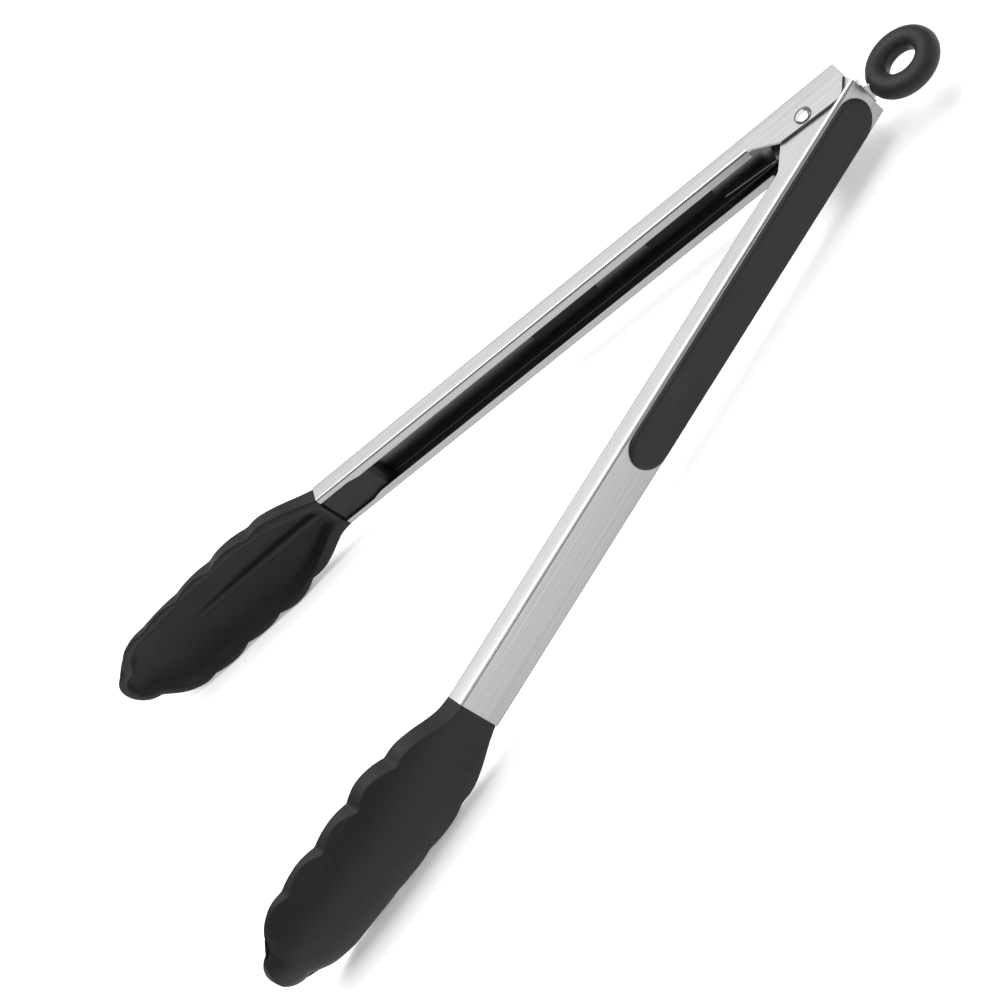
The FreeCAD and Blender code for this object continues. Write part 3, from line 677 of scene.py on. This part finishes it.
STEEL = {"inner_arm": brushed_steel("brushed_inner", HALF_OPENING, 0.30, 0.40),
         "outer_arm": brushed_steel("brushed_outer", -HALF_OPENING, 0.30, 0.40)}
# painted shade: darker copies of the brushed steel for the faces inside the channel
CHANNEL_SHADE = {"inner_arm": brushed_steel("shaded_inside_inner", HALF_OPENING, 0.12, 0.19),
          "outer_arm": brushed_steel("shaded_inside_outer", -HALF_OPENING, 0.12, 0.19)}
POLISHED = polished_steel("polished_steel", 0.45)
SPRING_STEEL = polished_steel("spring_wire", 0.55)
GRIP = silicone("silicone_grip", (0.009, 0.009, 0.0095), (0.017, 0.017, 0.018), 0.55)
HEAD = silicone("silicone_head", (0.005, 0.005, 0.0053), (0.011, 0.011, 0.0115), 0.56)
CORE = silicone("head_core", (0.0045, 0.0045, 0.0048), (0.009, 0.009, 0.0095), 0.45)
RING = silicone("silicone_ring", (0.008, 0.008, 0.0084), (0.016, 0.016, 0.0165), 0.48)


# ---------------------------------------------------------------- hinge, lock, ring and spring

def build_rivet(name):
    """Domed head on the near ear, its shank, and a slightly smaller head on the far ear."""
    side = CHANNEL_HALF
    wide, high = FAR_HEAD
    profile = [(r, side + h) for r, h in RIVET_HEAD]
    profile += [(RIVET_SHANK, side), (RIVET_SHANK, -side)]
    profile += [(r * wide, -side - h * high) for r, h in RIVET_HEAD[::-1]]
    return make_object(name, lathe(profile), arm_matrix("outer_arm"), POLISHED, 40)


def build_ring(name):
    """Moulded ring: round outside, a flat land in the hole, a faint parting line."""
    profile = []
    land = math.degrees(math.acos((RING_RADIUS - RING_HOLE) / RING_TUBE))
    for angle in np.linspace(-180 + land, 180 - land, 73):
        a = math.radians(angle)
        seam = RING_SEAM * math.exp(-(angle / RING_SEAM_DEGREES) ** 2)
        profile.append((RING_RADIUS + (RING_TUBE + seam - RING_SEAM) * math.cos(a),
                        RING_TUBE * math.sin(a)))
    bm = lathe(profile + profile[:1], 160)
    bmesh.ops.remove_doubles(bm, verts=bm.verts, dist=1e-4)
    bmesh.ops.translate(bm, verts=bm.verts, vec=(-RING_PLACE, RING_OFFSET, 0))
    return make_object(name, bm, arm_matrix("outer_arm"), RING, 35)


def turned(point, angle):
    return Vector((point[0] * math.cos(angle) - point[1] * math.sin(angle),
                   point[0] * math.sin(angle) + point[1] * math.cos(angle), point[2]))


def leave_angle(target, side):
    """Angle on the coil where a straight leg to the target leaves it."""
    return math.atan2(target.y, target.x) + side * math.acos(COIL_RADIUS / target.xy.length)


def build_spring():
    """Two coils on the rivet with legs on the outer arm, and the bridge on the inner arm."""
    web = WEB_DEPTH - SHEET - WIRE - WIRE_PLAY
    bridge = turned((BRIDGE_PLACE, web, 0), 2 * HALF_OPENING)
    heel, tip = Vector((LEG_HEEL, -web, 0)), Vector((LEG_TIP, -web, 0))
    begin, finish = leave_angle(bridge, -1), leave_angle(heel, 1)
    swept = 2 * math.pi + (begin - finish) % (2 * math.pi)
    rise = COIL_PITCH * swept / (2 * math.pi)
    place = Matrix.Translation(PIN) @ Matrix.Rotation(-HALF_OPENING, 4, "Z") @ Matrix.Scale(MM, 4)
    for side, word in ((1, "upper"), (-1, "lower")):
        coil = []
        for t in np.linspace(0, 1, 90):
            a = begin - swept * t
            coil.append((COIL_RADIUS * math.cos(a), COIL_RADIUS * math.sin(a),
                         side * (COIL_START + rise * t)))
        leg_level = Vector((0, 0, side * (COIL_START + rise)))
        legs = [heel + leg_level, heel + leg_level + Vector(LEG_BEND),
                tip + Vector((0, 0, side * COIL_START))]
        item = make_object("spring_%s_coil" % word, tube(coil + legs, WIRE), place, SPRING_STEEL)
        attach(item, "outer_arm", "spring_wire", "torsion_spring")
    half = [Vector((COIL_RADIUS * math.cos(begin), COIL_RADIUS * math.sin(begin), COIL_START)),
            bridge + Vector((0, 0, BRIDGE_HALF))]
    corner = half[1] + (half[0] - half[1]).normalized() * BRIDGE_CORNER
    path = [half[0], corner, half[1] + Vector((0, 0, -BRIDGE_CORNER))]
    path += [Vector((p.x, p.y, -p.z)) for p in path[::-1]]
    item = make_object("spring_bridge", tube(path, WIRE), place, SPRING_STEEL)
    attach(item, "inner_arm", "spring_wire", "torsion_spring")


# ---------------------------------------------------------------- assemble

for arm in ("outer_arm", "inner_arm"):
    side = arm.split("_")[0]
    channel = refined_copy("channel_" + side, arm, STEEL[arm], 0.14, 3)
    attach(paint_channel_shade(channel, arm, CHANNEL_SHADE[arm]), arm, "brushed_steel", arm)
    attach(build_head("head_" + side, arm, HEAD), arm, "silicone_head", side + "_head_skin")
    attach(refined_copy("shank_" + side, side + "_head_core", CORE, 0.25, 3), arm,
           "head_core", side + "_head_core")
    attach(build_grip("grip_" + side, arm, GRIP), arm, "silicone_grip", side + "_grip")
    attach(build_anchor("anchors_" + side, arm, GRIP), arm, "silicone_grip", side + "_grip")
attach(build_rivet("rivet"), "outer_arm", "polished_steel", "hinge_rivet")
attach(refined_copy("spacer", "rail_spacer", POLISHED, 0.1), "outer_arm",
       "polished_steel", "rail_spacer")
attach(refined_copy("slider", "lock_slider", STEEL["outer_arm"], 0.1, 3), "lock",
       "brushed_steel", "lock_slider")
attach(refined_copy("cross_pin", "lock_pin", POLISHED, 0.15, 3), "lock",
       "polished_steel", "lock_pin")
attach(build_ring("loop_ring"), "lock", "silicone_ring", "hang_ring")
build_spring()


# ---------------------------------------------------------------- floor, light and camera

def build_floor():
    bm = bmesh.new()
    bmesh.ops.create_grid(bm, x_segments=8, y_segments=8, size=6.0)
    floor = make_object("floor", bm, Matrix.Translation((0, 0, -0.0002)), floor_surface())


def soft_light(name, place, aim, size, power):
    lamp = bpy.data.lights.new(name, "AREA")
    lamp.shape = "RECTANGLE"
    lamp.size, lamp.size_y = size
    lamp.energy = power
    item = bpy.data.objects.new(name, lamp)
    item.location = place
    item.rotation_mode = "QUATERNION"
    item.rotation_quaternion = (Vector(aim) - Vector(place)).to_track_quat("-Z", "Y")
    bpy.context.scene.collection.objects.link(item)


SENSOR = 36.0
LENS = 90.18


def look_from(location, forward, up):
    camera = bpy.data.cameras.new("camera")
    camera.sensor_width = SENSOR
    camera.lens = LENS
    camera.clip_start, camera.clip_end = 0.01, 50.0
    item = bpy.data.objects.new("camera", camera)
    back = -Vector(forward).normalized()
    right = Vector(up).cross(back).normalized()
    turned_to = Matrix((right, back.cross(right), back)).transposed().to_4x4()
    turned_to.translation = Vector(location)
    item.matrix_world = turned_to
    bpy.context.scene.collection.objects.link(item)
    bpy.context.scene.camera = item


build_floor()
soft_light("overhead", (0.0, -0.25, 1.5), (0, 0, 0), (1.6, 1.6), 30.0)
soft_light("back_panel", (0.25, -1.5, 1.25), (0, 0, 0), (1.8, 1.2), 9.5)
soft_light("left_fill", (-1.5, 0.5, 0.8), (0, 0, 0), (0.9, 1.2), 5.0)
soft_light("front_panel", (-0.25, 1.3, 1.35), (0, 0, 0), (0.5, 0.5), 3.0)
world = bpy.data.worlds.new("studio")
world.use_nodes = True
world.node_tree.nodes["Background"].inputs[0].default_value = (1, 1, 1, 1)
world.node_tree.nodes["Background"].inputs[1].default_value = 0.35
bpy.context.scene.world = world
bpy.context.scene.view_settings.view_transform = "Standard"
look_from(PIN + Vector((0.026515, 0.57198, 0.490789)), (0.156498, -0.747667, -0.645370),
          (-0.737294, -0.523218, 0.427364))
